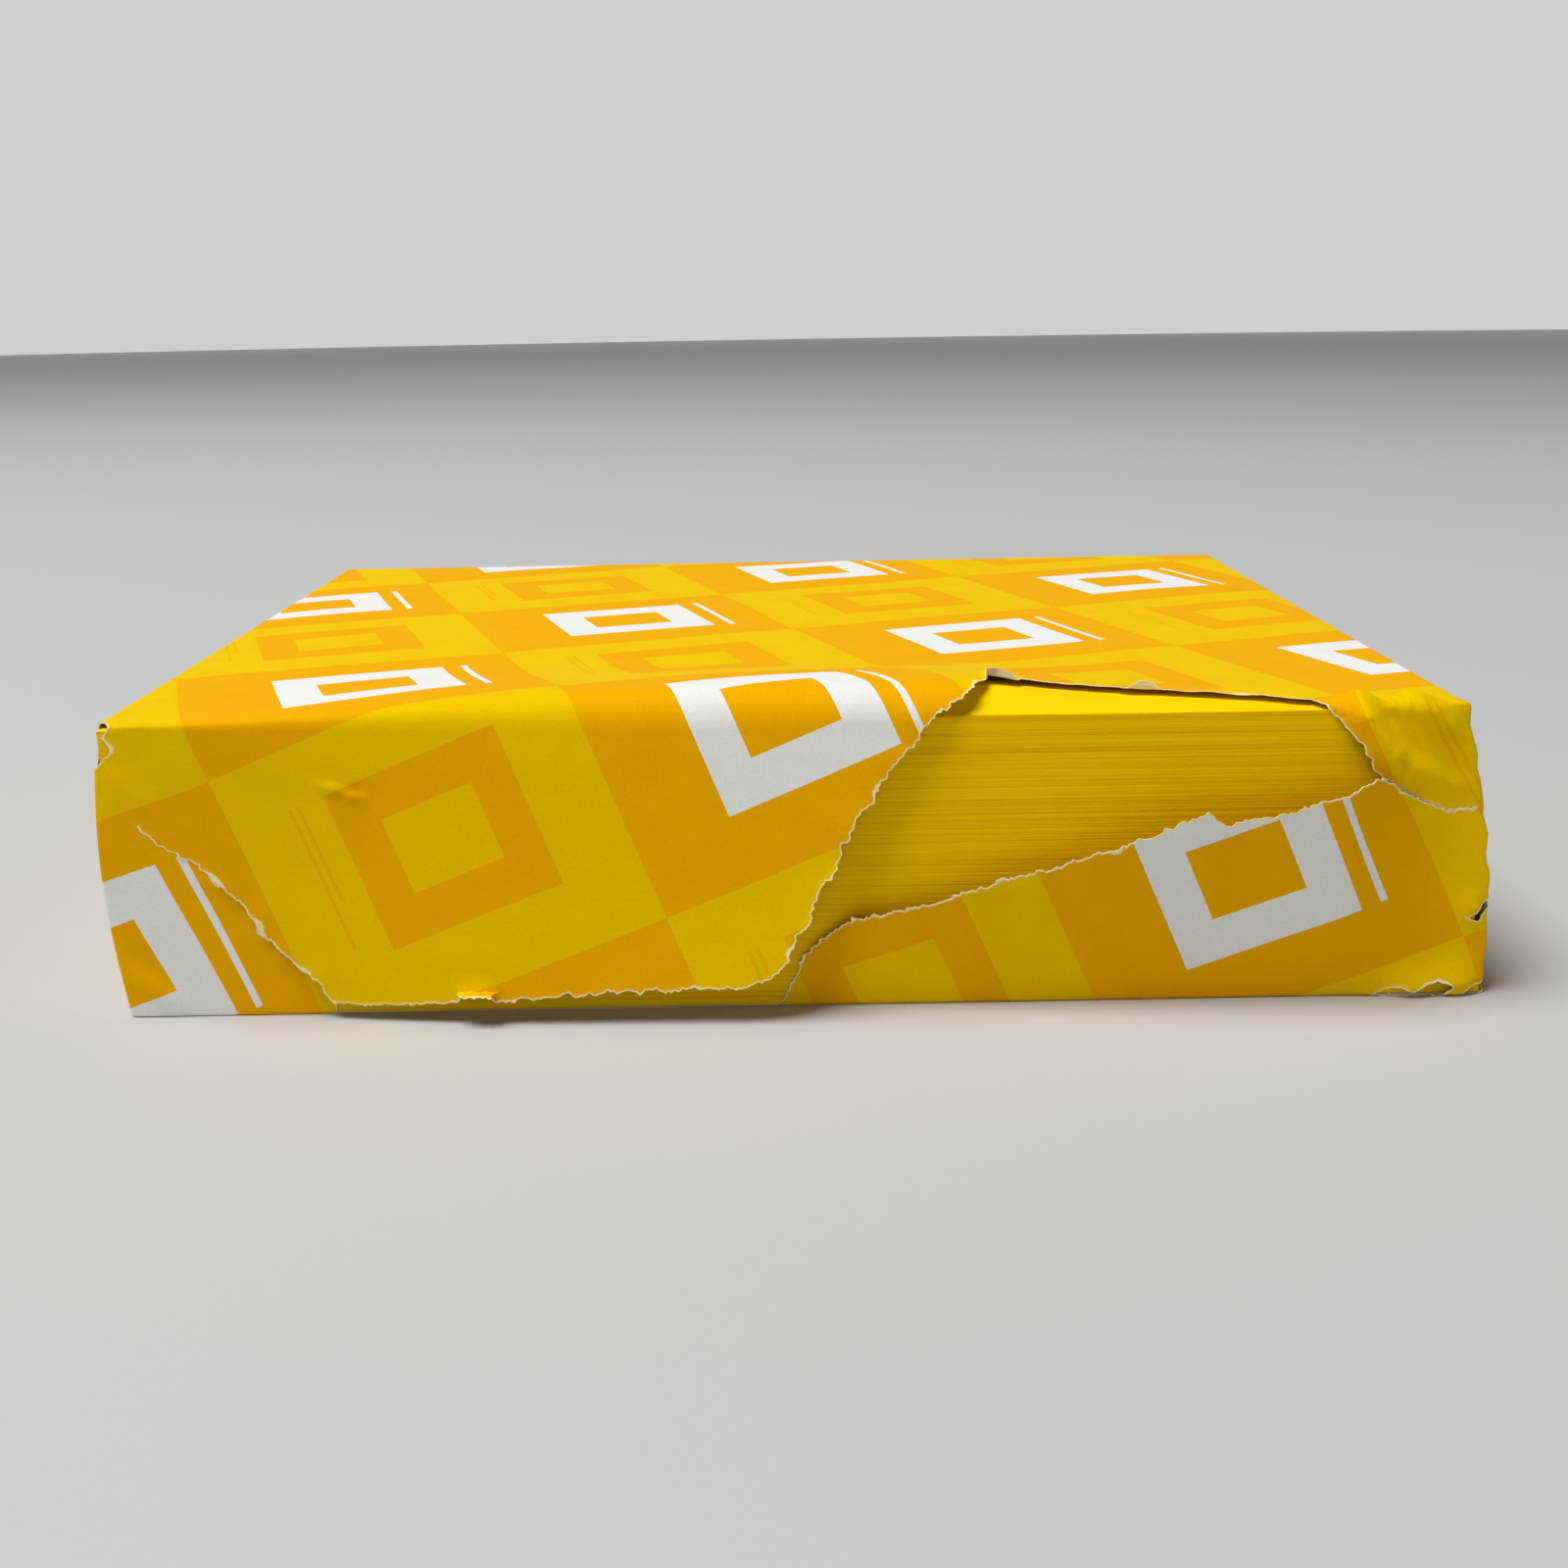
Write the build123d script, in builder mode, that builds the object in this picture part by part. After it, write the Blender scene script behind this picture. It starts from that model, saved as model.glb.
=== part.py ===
"""A ream of copy paper: 500 sheets in a printed paper wrapper that was torn open along one long side.

Millimetres. X runs along the sheets' long side, Y away from the torn side and Z up. The origin is
the middle of the ream's box, on the surface it lies on.
"""

import os
from math import cos, pi, sin

from build123d import *

os.makedirs("parts", exist_ok=True)

# Sheets
SHEET_LENGTH = 279.4
SHEET_WIDTH = 215.9
SHEET_THICKNESS = 0.122
SHEET_COUNT = 500
STACK_LEAN = 4.4  # how much further to +X the lowest sheet lies than the top one

# Wrapper: one sheet, folded round the stack, glued along the bottom and at both ends
WRAP_THICKNESS = 0.2
WRAP_CLEARANCE = 0.15  # between the stack and the wrapper's inner side
SEAM_LAP = 25.0  # where the sheet's two long edges overlap, under the stack
SEAM_OFFSET = 30.0  # of the lap's middle from the stack's middle, towards the back
TUCK_DEPTH = 48.0  # of the side tucks that fold in first at each end
FLAP_HEIGHT = 44.0  # of the flaps that fold over the tucks
EDGE_STRIP = 1.0  # turned edge that joins a flap to the wall it comes from

# The torn side: its loose flap stands off the stack and lifts the fold above it
FLAP_LIFT = 5.0
FOLD_RISE = 5.5
FOLD_RADIUS = 8.0
CREASE_RADIUS = 0.6  # of the fold where the wrapper still lies tight
RAMP_LENGTH = 55.0  # of the top panel that rises to the lifted fold
LIP_SETBACK = 8.0  # from the stack's front to the torn edge of the top panel
SLIT = 0.5  # width of a tear whose sides still meet

# Measures that follow from those above
stack_height = SHEET_THICKNESS * SHEET_COUNT
stack_base = 2 * WRAP_THICKNESS
wrap_height = stack_base + stack_height + WRAP_CLEARANCE + WRAP_THICKNESS
stack_y = FLAP_LIFT / 2
half_width = SHEET_WIDTH / 2 + WRAP_CLEARANCE + WRAP_THICKNESS
front_y = stack_y - half_width
back_y = stack_y + half_width
lean_per_mm = STACK_LEAN / stack_height
half_length = SHEET_LENGTH / 2


def lean_shift(height):
    """How far a sheet at this height lies to +X of the one halfway up the wrapper."""
    return lean_per_mm * (wrap_height / 2 - height)


# The sheets: one solid, sheared along X
with BuildPart() as paper_stack:
    with BuildSketch(Plane.XZ.offset(SHEET_WIDTH / 2 - stack_y)):
        with BuildLine():
            bottom = lean_shift(stack_base)
            top = lean_shift(stack_base + stack_height)
            Polyline(
                (bottom - half_length, stack_base),
                (bottom + half_length, stack_base),
                (top + half_length, stack_base + stack_height),
                (top - half_length, stack_base + stack_height),
                close=True,
            )
        make_face()
    extrude(amount=-SHEET_WIDTH)
paper_stack.part.label = "paper_stack"


# Stations along X: place, share of the rise, share of the lift, height at which the flap leaves the
# stack's front, and height at which it stands off in full. Places and heights are shares of the
# sheet's length and of the wrapper's height, so the torn side keeps its form at other sizes.
SNUG = 0.02  # where the wrapper lies tight it still bellies out a little
STATIONS = [
    (-0.55, SNUG, SNUG, 0.02, 0.10),
    (-0.44, SNUG, SNUG, 0.02, 0.10),
    (-0.27, 0.6, 0.5, 0.02, 0.10),
    (0.0, 0.9, 0.8, 0.07, 0.18),
    (0.14, 1.0, 1.0, 0.45, 0.72),
    (0.22, 0.5, 0.4, 0.52, 0.75),
    (0.40, 0.1, SNUG, 0.70, 0.80),
    (0.55, SNUG, SNUG, 0.70, 0.80),
]


def wrap_section(place, rise, lift, foot, stand, inset):
    """The wrapper's closed section across the ream at one station, drawn inset from its outside."""
    radius = CREASE_RADIUS + (FOLD_RADIUS - CREASE_RADIUS) * rise - inset
    face_y = front_y - FLAP_LIFT * lift + inset
    crest = wrap_height + FOLD_RISE * rise - inset
    turn = crest - radius
    middle = (face_y + radius * (1 - cos(pi / 4)), turn + radius * sin(pi / 4))
    with BuildLine(Plane.YZ.offset(place * SHEET_LENGTH)) as section:
        ThreePointArc((face_y, turn), middle, (face_y + radius, crest))
        Polyline(
            (face_y + radius, crest),
            (front_y + RAMP_LENGTH, wrap_height - inset),
            (back_y - inset, wrap_height - inset),
            (back_y - inset, inset),
            (front_y + inset, inset),
            (front_y + inset, foot * wrap_height),
            (face_y, stand * wrap_height),
            (face_y, turn),
        )
    return Face(Wire(section.edges()))


def torn_area(outline):
    """A torn outline, given along X and Z, drawn in front of the loose flap."""
    with BuildSketch(Plane.XZ.offset(FLAP_LIFT + SLIT - front_y)) as area:
        with BuildLine():
            Polyline(*outline, close=True)
        make_face()
    return area.sketch


def on_front(share_x, share_z):
    """A point of the front wall, from its shares of the sheet's half length and of the height."""
    height = share_z * wrap_height
    return (share_x * half_length + lean_shift(height), height)


def slit_outline(points):
    """A narrow closed outline along a tear."""
    upper = [(x, z + SLIT) for x, z in reversed(points)]
    return points + upper


# Where the wall is gone, anticlockwise from the lifted fold: the loose flap's edge, the fold at the
# bottom, the edge of what still holds on at the lower right, and the corner at the upper right
ABOVE = 1.2
WINDOW = [
    on_front(0.30, ABOVE),
    on_front(0.30, 1.10),
    on_front(0.24, 0.98),
    on_front(0.17, 0.84),
    on_front(0.12, 0.66),
    on_front(0.09, 0.48),
    on_front(0.04, 0.26),
    on_front(0.00, 0.10),
    on_front(-0.03, 0.06),
    on_front(-0.40, 0.05),
    on_front(-0.50, 0.02),
    (on_front(-0.69, 0)[0], WRAP_THICKNESS + SLIT),
    (on_front(-0.69, 0)[0], WRAP_THICKNESS),
    (on_front(-0.02, 0)[0], WRAP_THICKNESS),
    on_front(0.01, 0.12),
    on_front(0.08, 0.25),
    on_front(0.22, 0.35),
    on_front(0.40, 0.48),
    on_front(0.58, 0.64),
    on_front(0.62, 0.67),
    on_front(0.64, 0.64),
    on_front(0.72, 0.66),
    on_front(0.87, 0.77),
    on_front(0.85, 0.85),
    on_front(0.81, 1.0),
    on_front(0.81, ABOVE),
]
# The tear that frees the flap from the lower left corner
LEFT_TEAR = [
    on_front(-0.93, 0.66),
    on_front(-0.86, 0.52),
    on_front(-0.81, 0.40),
    on_front(-0.73, 0.15),
    (on_front(-0.69, 0)[0], WRAP_THICKNESS),
]
# The tear that runs from the opening to the right end
RIGHT_TEAR = [
    on_front(0.86, 0.77),
    on_front(0.92, 0.69),
    on_front(0.97, 0.63),
    on_front(1.10, 0.65),
]


def end_plane(side):
    """The slanted plane of an end of the folded tube, its Z axis pointing out of the ream."""
    reach = half_length + WRAP_CLEARANCE
    return Plane(
        origin=(side * reach + lean_shift(0), 0, 0),
        x_dir=(0, side, 0),
        z_dir=(side, 0, side * lean_per_mm),
    )


def end_flap(plane, middle, base, height):
    """A flap of an end fold, narrowing at 45 degrees from its fold to its free edge."""
    narrow = half_width - FLAP_HEIGHT
    with BuildSketch(plane) as flap:
        with BuildLine():
            Polyline(
                (middle - half_width, base),
                (middle + half_width, base),
                (middle + narrow, base + height),
                (middle - narrow, base + height),
                close=True,
            )
        make_face()
    return flap.sketch


# The wrapper: a tube across the ream, its torn side, and the folded ends
with BuildPart() as wrapper:
    loft([wrap_section(*station, 0) for station in STATIONS], ruled=True)
    loft([wrap_section(*station, WRAP_THICKNESS) for station in STATIONS], True, mode=Mode.SUBTRACT)
    for side in (-1, 1):
        split(bisect_by=end_plane(side), keep=Keep.BOTTOM)

    # The seam's inner ply, which the stack lies on
    with BuildSketch(Plane.YZ.offset(lean_shift(0) - half_length)):
        with Locations((stack_y + SEAM_OFFSET, WRAP_THICKNESS * 1.5)):
            Rectangle(SEAM_LAP, WRAP_THICKNESS)
    extrude(amount=SHEET_LENGTH)

    # The opening and the two tears that run from it
    for outline in (WINDOW, slit_outline(LEFT_TEAR), slit_outline(RIGHT_TEAR)):
        cut = torn_area(outline)
        extrude(cut, amount=-(FLAP_LIFT + SLIT + LIP_SETBACK), mode=Mode.SUBTRACT)

    slant = wrap_height * (1 + lean_per_mm**2) ** 0.5
    for side in (-1, 1):
        plane = end_plane(side)
        # Front and back tucks, with the turned edges of the top and bottom panels
        with BuildSketch(plane):
            with Locations((side * stack_y, slant / 2)):
                Rectangle(2 * half_width, slant)
                Rectangle(
                    2 * (half_width - TUCK_DEPTH), slant - 2 * EDGE_STRIP, mode=Mode.SUBTRACT
                )
        extrude(amount=WRAP_THICKNESS)
        # The bottom flap folds up over the tucks, and the top flap down over both
        over_tucks = plane.offset(WRAP_THICKNESS)
        extrude(end_flap(over_tucks, side * stack_y, 0, FLAP_HEIGHT), amount=WRAP_THICKNESS)
        extrude(end_flap(over_tucks, side * stack_y, slant, -FLAP_HEIGHT), amount=2 * WRAP_THICKNESS)

    # The slanted plies end level with the bottom panel
    split(bisect_by=Plane.XY, keep=Keep.TOP)
wrapper.part.label = "wrapper"

for piece in (paper_stack, wrapper):
    export_step(piece.part, f"parts/{piece.part.label}.step")
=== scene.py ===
# %% [markdown]
# # A ream of paper, torn open
#
# The object is 500 sheets of yellow copy paper in a printed wrapper. The wrapper is one sheet,
# folded round the stack and torn open along one long side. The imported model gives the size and
# place of both. This lesson makes the layered stack, prints the flat wrapper, tears it, folds it
# and lights it.

# %% The frame
import random
from math import cos, hypot, pi, radians, sin

import bpy
import numpy as np
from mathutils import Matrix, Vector, noise
from mathutils.geometry import delaunay_2d_cdt


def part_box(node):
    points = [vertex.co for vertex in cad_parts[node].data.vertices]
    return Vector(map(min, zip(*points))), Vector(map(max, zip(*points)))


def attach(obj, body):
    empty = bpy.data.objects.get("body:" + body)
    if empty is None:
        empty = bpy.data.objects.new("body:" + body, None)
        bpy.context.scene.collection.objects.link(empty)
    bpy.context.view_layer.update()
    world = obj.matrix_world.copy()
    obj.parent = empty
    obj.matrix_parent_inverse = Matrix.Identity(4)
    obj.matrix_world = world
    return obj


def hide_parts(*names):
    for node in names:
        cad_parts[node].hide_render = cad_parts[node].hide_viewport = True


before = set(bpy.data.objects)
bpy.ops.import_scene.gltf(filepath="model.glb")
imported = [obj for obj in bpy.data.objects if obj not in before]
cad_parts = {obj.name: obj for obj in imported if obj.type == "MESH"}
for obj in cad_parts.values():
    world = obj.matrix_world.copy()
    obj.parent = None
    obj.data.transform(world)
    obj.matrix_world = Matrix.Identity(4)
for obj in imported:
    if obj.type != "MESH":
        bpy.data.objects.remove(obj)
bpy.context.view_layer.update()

MM = 0.001  # every size below is in millimetres, and Blender works in metres

stack_low, stack_high = (np.array(corner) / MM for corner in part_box("paper_stack"))
wrap_low, wrap_high = (np.array(corner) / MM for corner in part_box("wrapper"))
print("stack, mm:", stack_low.round(1), stack_high.round(1))
print("wrapper, mm:", wrap_low.round(1), wrap_high.round(1))

# %% [markdown]
# ## Sizes
#
# The sheets are letter size. What the frame's boxes say beyond that is the lean of the stack, and
# where its front and back are. The wrapper lies a hair outside the stack.

# %% Sizes taken from the frame
SHEET_LENGTH = 279.4
SHEET_COUNT = 500
SKIN_GAP = 0.15  # between the stack and the wrapper's inner side
SKIN = 0.2

lean = stack_high[0] - stack_low[0] - SHEET_LENGTH
half_length = SHEET_LENGTH / 2
stack_height = stack_high[2] - stack_low[2]
front = stack_low[1] - SKIN_GAP - SKIN
back = stack_high[1] + SKIN_GAP + SKIN
top = stack_high[2] + SKIN_GAP + SKIN
depth = back - front
print("lean", round(lean, 2), "front", round(front, 2), "back", round(back, 2), "top", round(top, 2))


def lean_shift(height):
    """How far the stack has slid to +X at this height, in mm."""
    return lean / stack_height * (top / 2 - height)


# %% [markdown]
# ## Helpers for materials
#
# Colours are written as the hex values a printer would give, and one function turns them into the
# linear numbers that shaders take. One more function adds a node, sets it and links it.

# %% Colour and node helpers
def colour(hex_code):
    """An sRGB hex colour as linear RGBA."""
    channels = [int(hex_code[i : i + 2], 16) / 255 for i in (1, 3, 5)]
    linear = [c / 12.92 if c <= 0.04045 else ((c + 0.055) / 1.055) ** 2.4 for c in channels]
    return (*linear, 1.0)


def node(tree, kind, inputs=None, **settings):
    """A new shader node. Each input is a value, an output socket, or a node."""
    made = tree.nodes.new("ShaderNode" + kind)
    for name, value in settings.items():
        setattr(made, name, value)
    for key, value in (inputs or {}).items():
        if isinstance(value, bpy.types.Node):
            value = next(output for output in value.outputs if output.enabled)
        if isinstance(value, bpy.types.NodeSocket):
            tree.links.new(value, made.inputs[key])
        else:
            made.inputs[key].default_value = value
    return made


def new_material(name):
    """An empty material, its node tree and its surface shader."""
    material = bpy.data.materials.new(name)
    material.use_nodes = True
    shader = material.node_tree.nodes["Principled BSDF"]
    return material, material.node_tree, shader


# %% [markdown]
# ## The camera
#
# The ream is seen from a little above the table, square on to its long side and quite near, so the
# back edge looks much shorter than the front.

# %% Camera
CAMERA_PLACE = (-2.2, -459.3, 144.3)
CAMERA_TURN = (84.08, 0.95, -0.32)  # tilt, roll and heading, in degrees
LENS = 40.55
SHIFT = -0.1875  # the lens is shifted, which keeps the upright edges nearly upright

camera_data = bpy.data.cameras.new("camera")
camera_data.lens = LENS
camera_data.sensor_width = 36
camera_data.shift_y = SHIFT
camera_data.clip_start = 0.01
camera = bpy.data.objects.new("camera", camera_data)
camera.location = Vector(CAMERA_PLACE) * MM
camera.rotation_euler = [radians(angle) for angle in CAMERA_TURN]
bpy.context.scene.collection.objects.link(camera)
bpy.context.scene.camera = camera
print("camera at", CAMERA_PLACE)

# %% [markdown]
# ## Floor and light
#
# The ream lies on a pale table, which a plane will do for. A low white screen all round it, an open
# cylinder that glows, gives a plain background from every side. It is black but for its glow, so
# that it adds little light of its own.

# %% Floor and backdrop
FLOOR_SIZE = 16  # metres, like all sizes in this cell and the next
SCREEN_RADIUS = 7.5
SCREEN_HEIGHT = 3
SCREEN_SUNK = 0.1  # how far the screen goes below the floor
SCREEN_GLOW = 0.6


def deselect_all():
    """Leaves nothing selected, because an operator acts on all that is."""
    for thing in bpy.context.selected_objects:
        thing.select_set(False)


deselect_all()
bpy.ops.mesh.primitive_plane_add(size=FLOOR_SIZE, location=(0, 0, 0))
floor = bpy.context.object
floor.name = "floor"
floor_material, _, floor_shader = new_material("pale_table")
floor_shader.inputs["Base Color"].default_value = colour("#c2c2c0")
floor_shader.inputs["Roughness"].default_value = 0.9
floor.data.materials.append(floor_material)

bpy.ops.mesh.primitive_cylinder_add(
    vertices=96, radius=SCREEN_RADIUS, depth=SCREEN_HEIGHT, end_fill_type="NOTHING",
    location=(0, 0, SCREEN_HEIGHT / 2 - SCREEN_SUNK),
)
backdrop = bpy.context.object
backdrop.name = "backdrop"
backdrop_material, _, backdrop_shader = new_material("lit_white_screen")
backdrop_shader.inputs["Base Color"].default_value = colour("#000000")
backdrop_shader.inputs["Emission Color"].default_value = colour("#ffffff")
backdrop_shader.inputs["Emission Strength"].default_value = SCREEN_GLOW
backdrop.data.materials.append(backdrop_material)
print("floor", FLOOR_SIZE, "m wide, screen", SCREEN_HEIGHT, "m high")

# %% [markdown]
# One large softbox hangs overhead, a little to the left: the top is bright, the torn side gets a
# half tone, and shadows have wide soft edges. The room adds a faint warm light. The Standard view
# transform keeps the strong yellows as they are, where a filmic one would bleach them.

# %% Lights
SOFTBOX_PLACE = Vector((-1.4, -0.72, 4.3))
SOFTBOX_AIM = Vector((0, 0, 0.03))
SOFTBOX_SIZE = 2.4
SOFTBOX_WATTS = 232
ROOM_LIGHT = 0.05

softbox_data = bpy.data.lights.new("softbox_above", "AREA")
softbox_data.size = SOFTBOX_SIZE
softbox_data.energy = SOFTBOX_WATTS
softbox = bpy.data.objects.new("softbox_above", softbox_data)
softbox.location = SOFTBOX_PLACE
softbox.rotation_euler = (SOFTBOX_AIM - SOFTBOX_PLACE).to_track_quat("-Z", "Y").to_euler()
bpy.context.scene.collection.objects.link(softbox)

world = bpy.data.worlds.new("studio")
bpy.context.scene.world = world
world.use_nodes = True
background = world.node_tree.nodes["Background"]
background.inputs["Color"].default_value = colour("#fff0dc")
background.inputs["Strength"].default_value = ROOM_LIGHT
bpy.context.scene.view_settings.view_transform = "Standard"
print("softbox:", SOFTBOX_WATTS, "W,", SOFTBOX_SIZE, "m wide")

# %% [markdown]
# ## The print
#
# The wrapper is printed flat, before it is folded, so the print is worked out on the flat sheet. A
# UV map holds each point's place there, in millimetres: U along the ream, and V from the front fold
# towards the back. The print is a check of two yellows, turned about twenty degrees. Warm fields
# carry a white hollow square, lemon fields a warm one, and each has thin bars beside it. Every
# shape is a few comparisons of U and V, so its edges stay sharp at any size.

# %% Measures of the print
FIELD_LONG = 75.3
FIELD_SHORT = 60.2
PRINT_TURN = 19.7  # degrees
PRINT_CORNER = (-87.6, 126.5)  # a corner where four fields meet

# Rectangles as shares of a field: from and to along its long side, from and to along its short one
SQUARE_OUTSIDE = (0.27, 0.78, 0.20, 0.77)
SQUARE_INSIDE = (0.39, 0.66, 0.35, 0.62)
WARM_BAR = (0.835, 0.855, 0.20, 0.77)
LONG_HAIRLINE = (0.165, 0.175, 0.20, 0.72)
SHORT_HAIRLINE = (0.190, 0.200, 0.20, 0.55)
HAIRLINE_INK = 0.7

LEMON = "#eec300"
WARM_YELLOW = "#eeac00"
MARK_WHITE = "#ebeae6"
print("print fields, mm:", FIELD_LONG, "by", FIELD_SHORT)

# %% The pattern of the print
def print_pattern(tree, uv):
    """The colour of the ink over the flat sheet."""
    flat_place = node(tree, "SeparateXYZ", {0: uv})
    along = node(tree, "Math", {0: flat_place.outputs["X"], 1: PRINT_CORNER[0]}, operation="SUBTRACT")
    deep = node(tree, "Math", {0: flat_place.outputs["Y"], 1: PRINT_CORNER[1]}, operation="SUBTRACT")

    # u and v count the fields, and their fractions are the place inside a field
    turn_c, turn_s = cos(radians(PRINT_TURN)), sin(radians(PRINT_TURN))
    u_along = node(tree, "Math", {0: along, 1: turn_c / FIELD_LONG}, operation="MULTIPLY")
    v_along = node(tree, "Math", {0: along, 1: turn_s / FIELD_SHORT}, operation="MULTIPLY")
    u = node(tree, "Math", {0: deep, 1: turn_s / FIELD_LONG, 2: u_along}, operation="MULTIPLY_ADD")
    v = node(tree, "Math", {0: deep, 1: -turn_c / FIELD_SHORT, 2: v_along}, operation="MULTIPLY_ADD")
    column = node(tree, "Math", {0: u}, operation="FLOOR")
    row = node(tree, "Math", {0: v}, operation="FLOOR")
    number = node(tree, "Math", {0: column, 1: row}, operation="ADD")
    lemon_field = node(tree, "Math", {0: number, 1: 2.0}, operation="FLOORED_MODULO")
    in_u = node(tree, "Math", {0: u}, operation="FRACT")
    in_v = node(tree, "Math", {0: v}, operation="FRACT")

    def rectangle(low_u, high_u, low_v, high_v):
        """1 inside a rectangle of the field, and 0 outside it."""
        inside = 1.0
        for place, operation, limit in (
            (in_u, "GREATER_THAN", low_u), (in_u, "LESS_THAN", high_u),
            (in_v, "GREATER_THAN", low_v), (in_v, "LESS_THAN", high_v),
        ):
            within = node(tree, "Math", {0: place, 1: limit}, operation=operation)
            inside = node(tree, "Math", {0: inside, 1: within}, operation="MULTIPLY")
        return inside

    outside, inside = rectangle(*SQUARE_OUTSIDE), rectangle(*SQUARE_INSIDE)
    square = node(tree, "Math", {0: outside, 1: inside}, operation="SUBTRACT", use_clamp=True)
    warm_bar = rectangle(*WARM_BAR)
    warm_mark = node(tree, "Math", {0: square, 1: warm_bar}, operation="ADD", use_clamp=True)
    long_hairline, short_hairline = rectangle(*LONG_HAIRLINE), rectangle(*SHORT_HAIRLINE)
    hairlines = node(tree, "Math", {0: long_hairline, 1: short_hairline}, operation="ADD", use_clamp=True)
    lemon_mark = node(
        tree, "Math", {0: hairlines, 1: HAIRLINE_INK, 2: square}, operation="MULTIPLY_ADD", use_clamp=True
    )
    warm_inks = {0: warm_mark, 6: colour(WARM_YELLOW), 7: colour(MARK_WHITE)}
    lemon_inks = {0: lemon_mark, 6: colour(LEMON), 7: colour(WARM_YELLOW)}
    warm = node(tree, "Mix", warm_inks, data_type="RGBA")
    lemon = node(tree, "Mix", lemon_inks, data_type="RGBA")
    return node(tree, "Mix", {0: lemon_field, 6: warm, 7: lemon}, data_type="RGBA")


# %% [markdown]
# ## Wrapping paper
#
# The wrapper is machine-glazed kraft paper, offset printed on its outer side: smooth and a little
# dull, with slightly uneven ink. Where it is torn, the print peels off with the surface and leaves a
# band of matt white fibres. The sheet carries an attribute, "torn", with each point's distance to
# the nearest tear in millimetres, and the band is drawn from it. The patterns' scales are in
# features per millimetre, because the UV map is in millimetres.

# %% Measures of the paper
REVERSE = "#e4d9b8"
FIBRE_WHITE = "#f6e8b4"
PAPER_IOR = 1.06  # a coated paper's is higher, but dull ink scatters most of the reflection
PRINT_ROUGHNESS = 0.6
REVERSE_ROUGHNESS = 0.8
BARE_ROUGHER = 0.3

BLOTCH_INK = 0.10  # how much blotches and speckle lighten and darken the ink
SPECKLE_INK = 0.16
NARROW_BAND = 0.12  # mm of bare fibres along a tear
FRINGE_BAND = 0.5
PATCH_BAND = 4.5
PATCH_FROM = 0.60  # the patches' noise makes the band wider above this value
BAND_EDGE = 5.0  # how sharply the band ends

# %% The wrapper's materials
def wrapping_paper(name, ink, roughness):
    """Wrapping paper with an ink or plain colour, and bare fibres along its tears."""
    material, tree, shader = new_material(name)
    uv = node(tree, "UVMap", uv_map="flat_sheet")
    if ink == "print":
        ink = print_pattern(tree, uv)

    # Blotches about 8 mm across, and a speckle under a millimetre where the fibres show
    blotch = node(tree, "TexNoise", {"Vector": uv, "Scale": 0.12, "Detail": 3.0})
    speckle = node(tree, "TexNoise", {"Vector": uv, "Scale": 1.5, "Detail": 2.0})
    low = 1 - BLOTCH_INK / 2
    shade = node(tree, "Math", {0: blotch, 1: BLOTCH_INK, 2: low}, operation="MULTIPLY_ADD")
    centred = node(tree, "Math", {0: speckle, 1: 0.5}, operation="SUBTRACT")
    shade = node(tree, "Math", {0: centred, 1: SPECKLE_INK, 2: shade}, operation="MULTIPLY_ADD")
    inked = node(tree, "VectorMath", {0: ink, "Scale": shade}, operation="SCALE")

    # The bare band: narrow in most places, wide in patches, with a frayed edge
    torn_place = node(tree, "Attribute", attribute_name="torn").outputs["Fac"]
    patches = node(tree, "TexNoise", {"Vector": uv, "Scale": 0.13, "Detail": 1.0})
    fringe = node(tree, "TexNoise", {"Vector": uv, "Scale": 1.6, "Detail": 3.0})
    patch = node(tree, "Math", {0: patches, 1: PATCH_FROM}, operation="SUBTRACT", use_clamp=True)
    band = node(tree, "Math", {0: patch, 1: PATCH_BAND, 2: NARROW_BAND}, operation="MULTIPLY_ADD")
    band = node(tree, "Math", {0: fringe, 1: FRINGE_BAND, 2: band}, operation="MULTIPLY_ADD")
    inside_band = node(tree, "Math", {0: band, 1: torn_place}, operation="SUBTRACT")
    bare = node(tree, "Math", {0: inside_band, 1: BAND_EDGE}, operation="MULTIPLY", use_clamp=True)
    base = node(tree, "Mix", {0: bare, 6: inked, 7: colour(FIBRE_WHITE)}, data_type="RGBA")
    rougher = {0: bare, 1: BARE_ROUGHER, 2: roughness}
    matt = node(tree, "Math", rougher, operation="MULTIPLY_ADD", use_clamp=True)
    tree.links.new(base.outputs[2], shader.inputs["Base Color"])
    tree.links.new(matt.outputs[0], shader.inputs["Roughness"])
    shader.inputs["IOR"].default_value = PAPER_IOR

    # The paper's fibres, about 0.8 mm long, and slight cockling some 10 mm across
    fibres = node(tree, "TexNoise", {"Vector": uv, "Scale": 1.2, "Detail": 4.0})
    cockle = node(tree, "TexNoise", {"Vector": uv, "Scale": 0.10, "Detail": 2.0})
    relief = node(tree, "Math", {0: fibres, 1: 0.10, 2: cockle}, operation="MULTIPLY_ADD")
    bump = node(tree, "Bump", {"Strength": 0.25, "Distance": 0.6 * MM, "Height": relief})
    tree.links.new(bump.outputs["Normal"], shader.inputs["Normal"])
    return material


outer_paper = wrapping_paper("wrapping_paper_printed", "print", PRINT_ROUGHNESS)
inner_paper = wrapping_paper("wrapping_paper_reverse", colour(REVERSE)[:3], REVERSE_ROUGHNESS)
print(outer_paper.name, "and", inner_paper.name)

# %% [markdown]
# ## The sheets
#
# Five hundred sheets are a guillotined block, but no two lie quite flush: the torn side shows fine
# ledges and dark gaps. Modelling 500 slabs would only make lines too fine to see, so one slab
# stands for two sheets. It is modelled once from a cube, cut into strips along its length so that
# its edge can waver, and then copied up the stack, each copy slid by a fraction of a millimetre.

# %% One slab of sheets
SHEETS_PER_SLAB = 2
STRIP = 12.0  # length of a slab's edge between cuts

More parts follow.
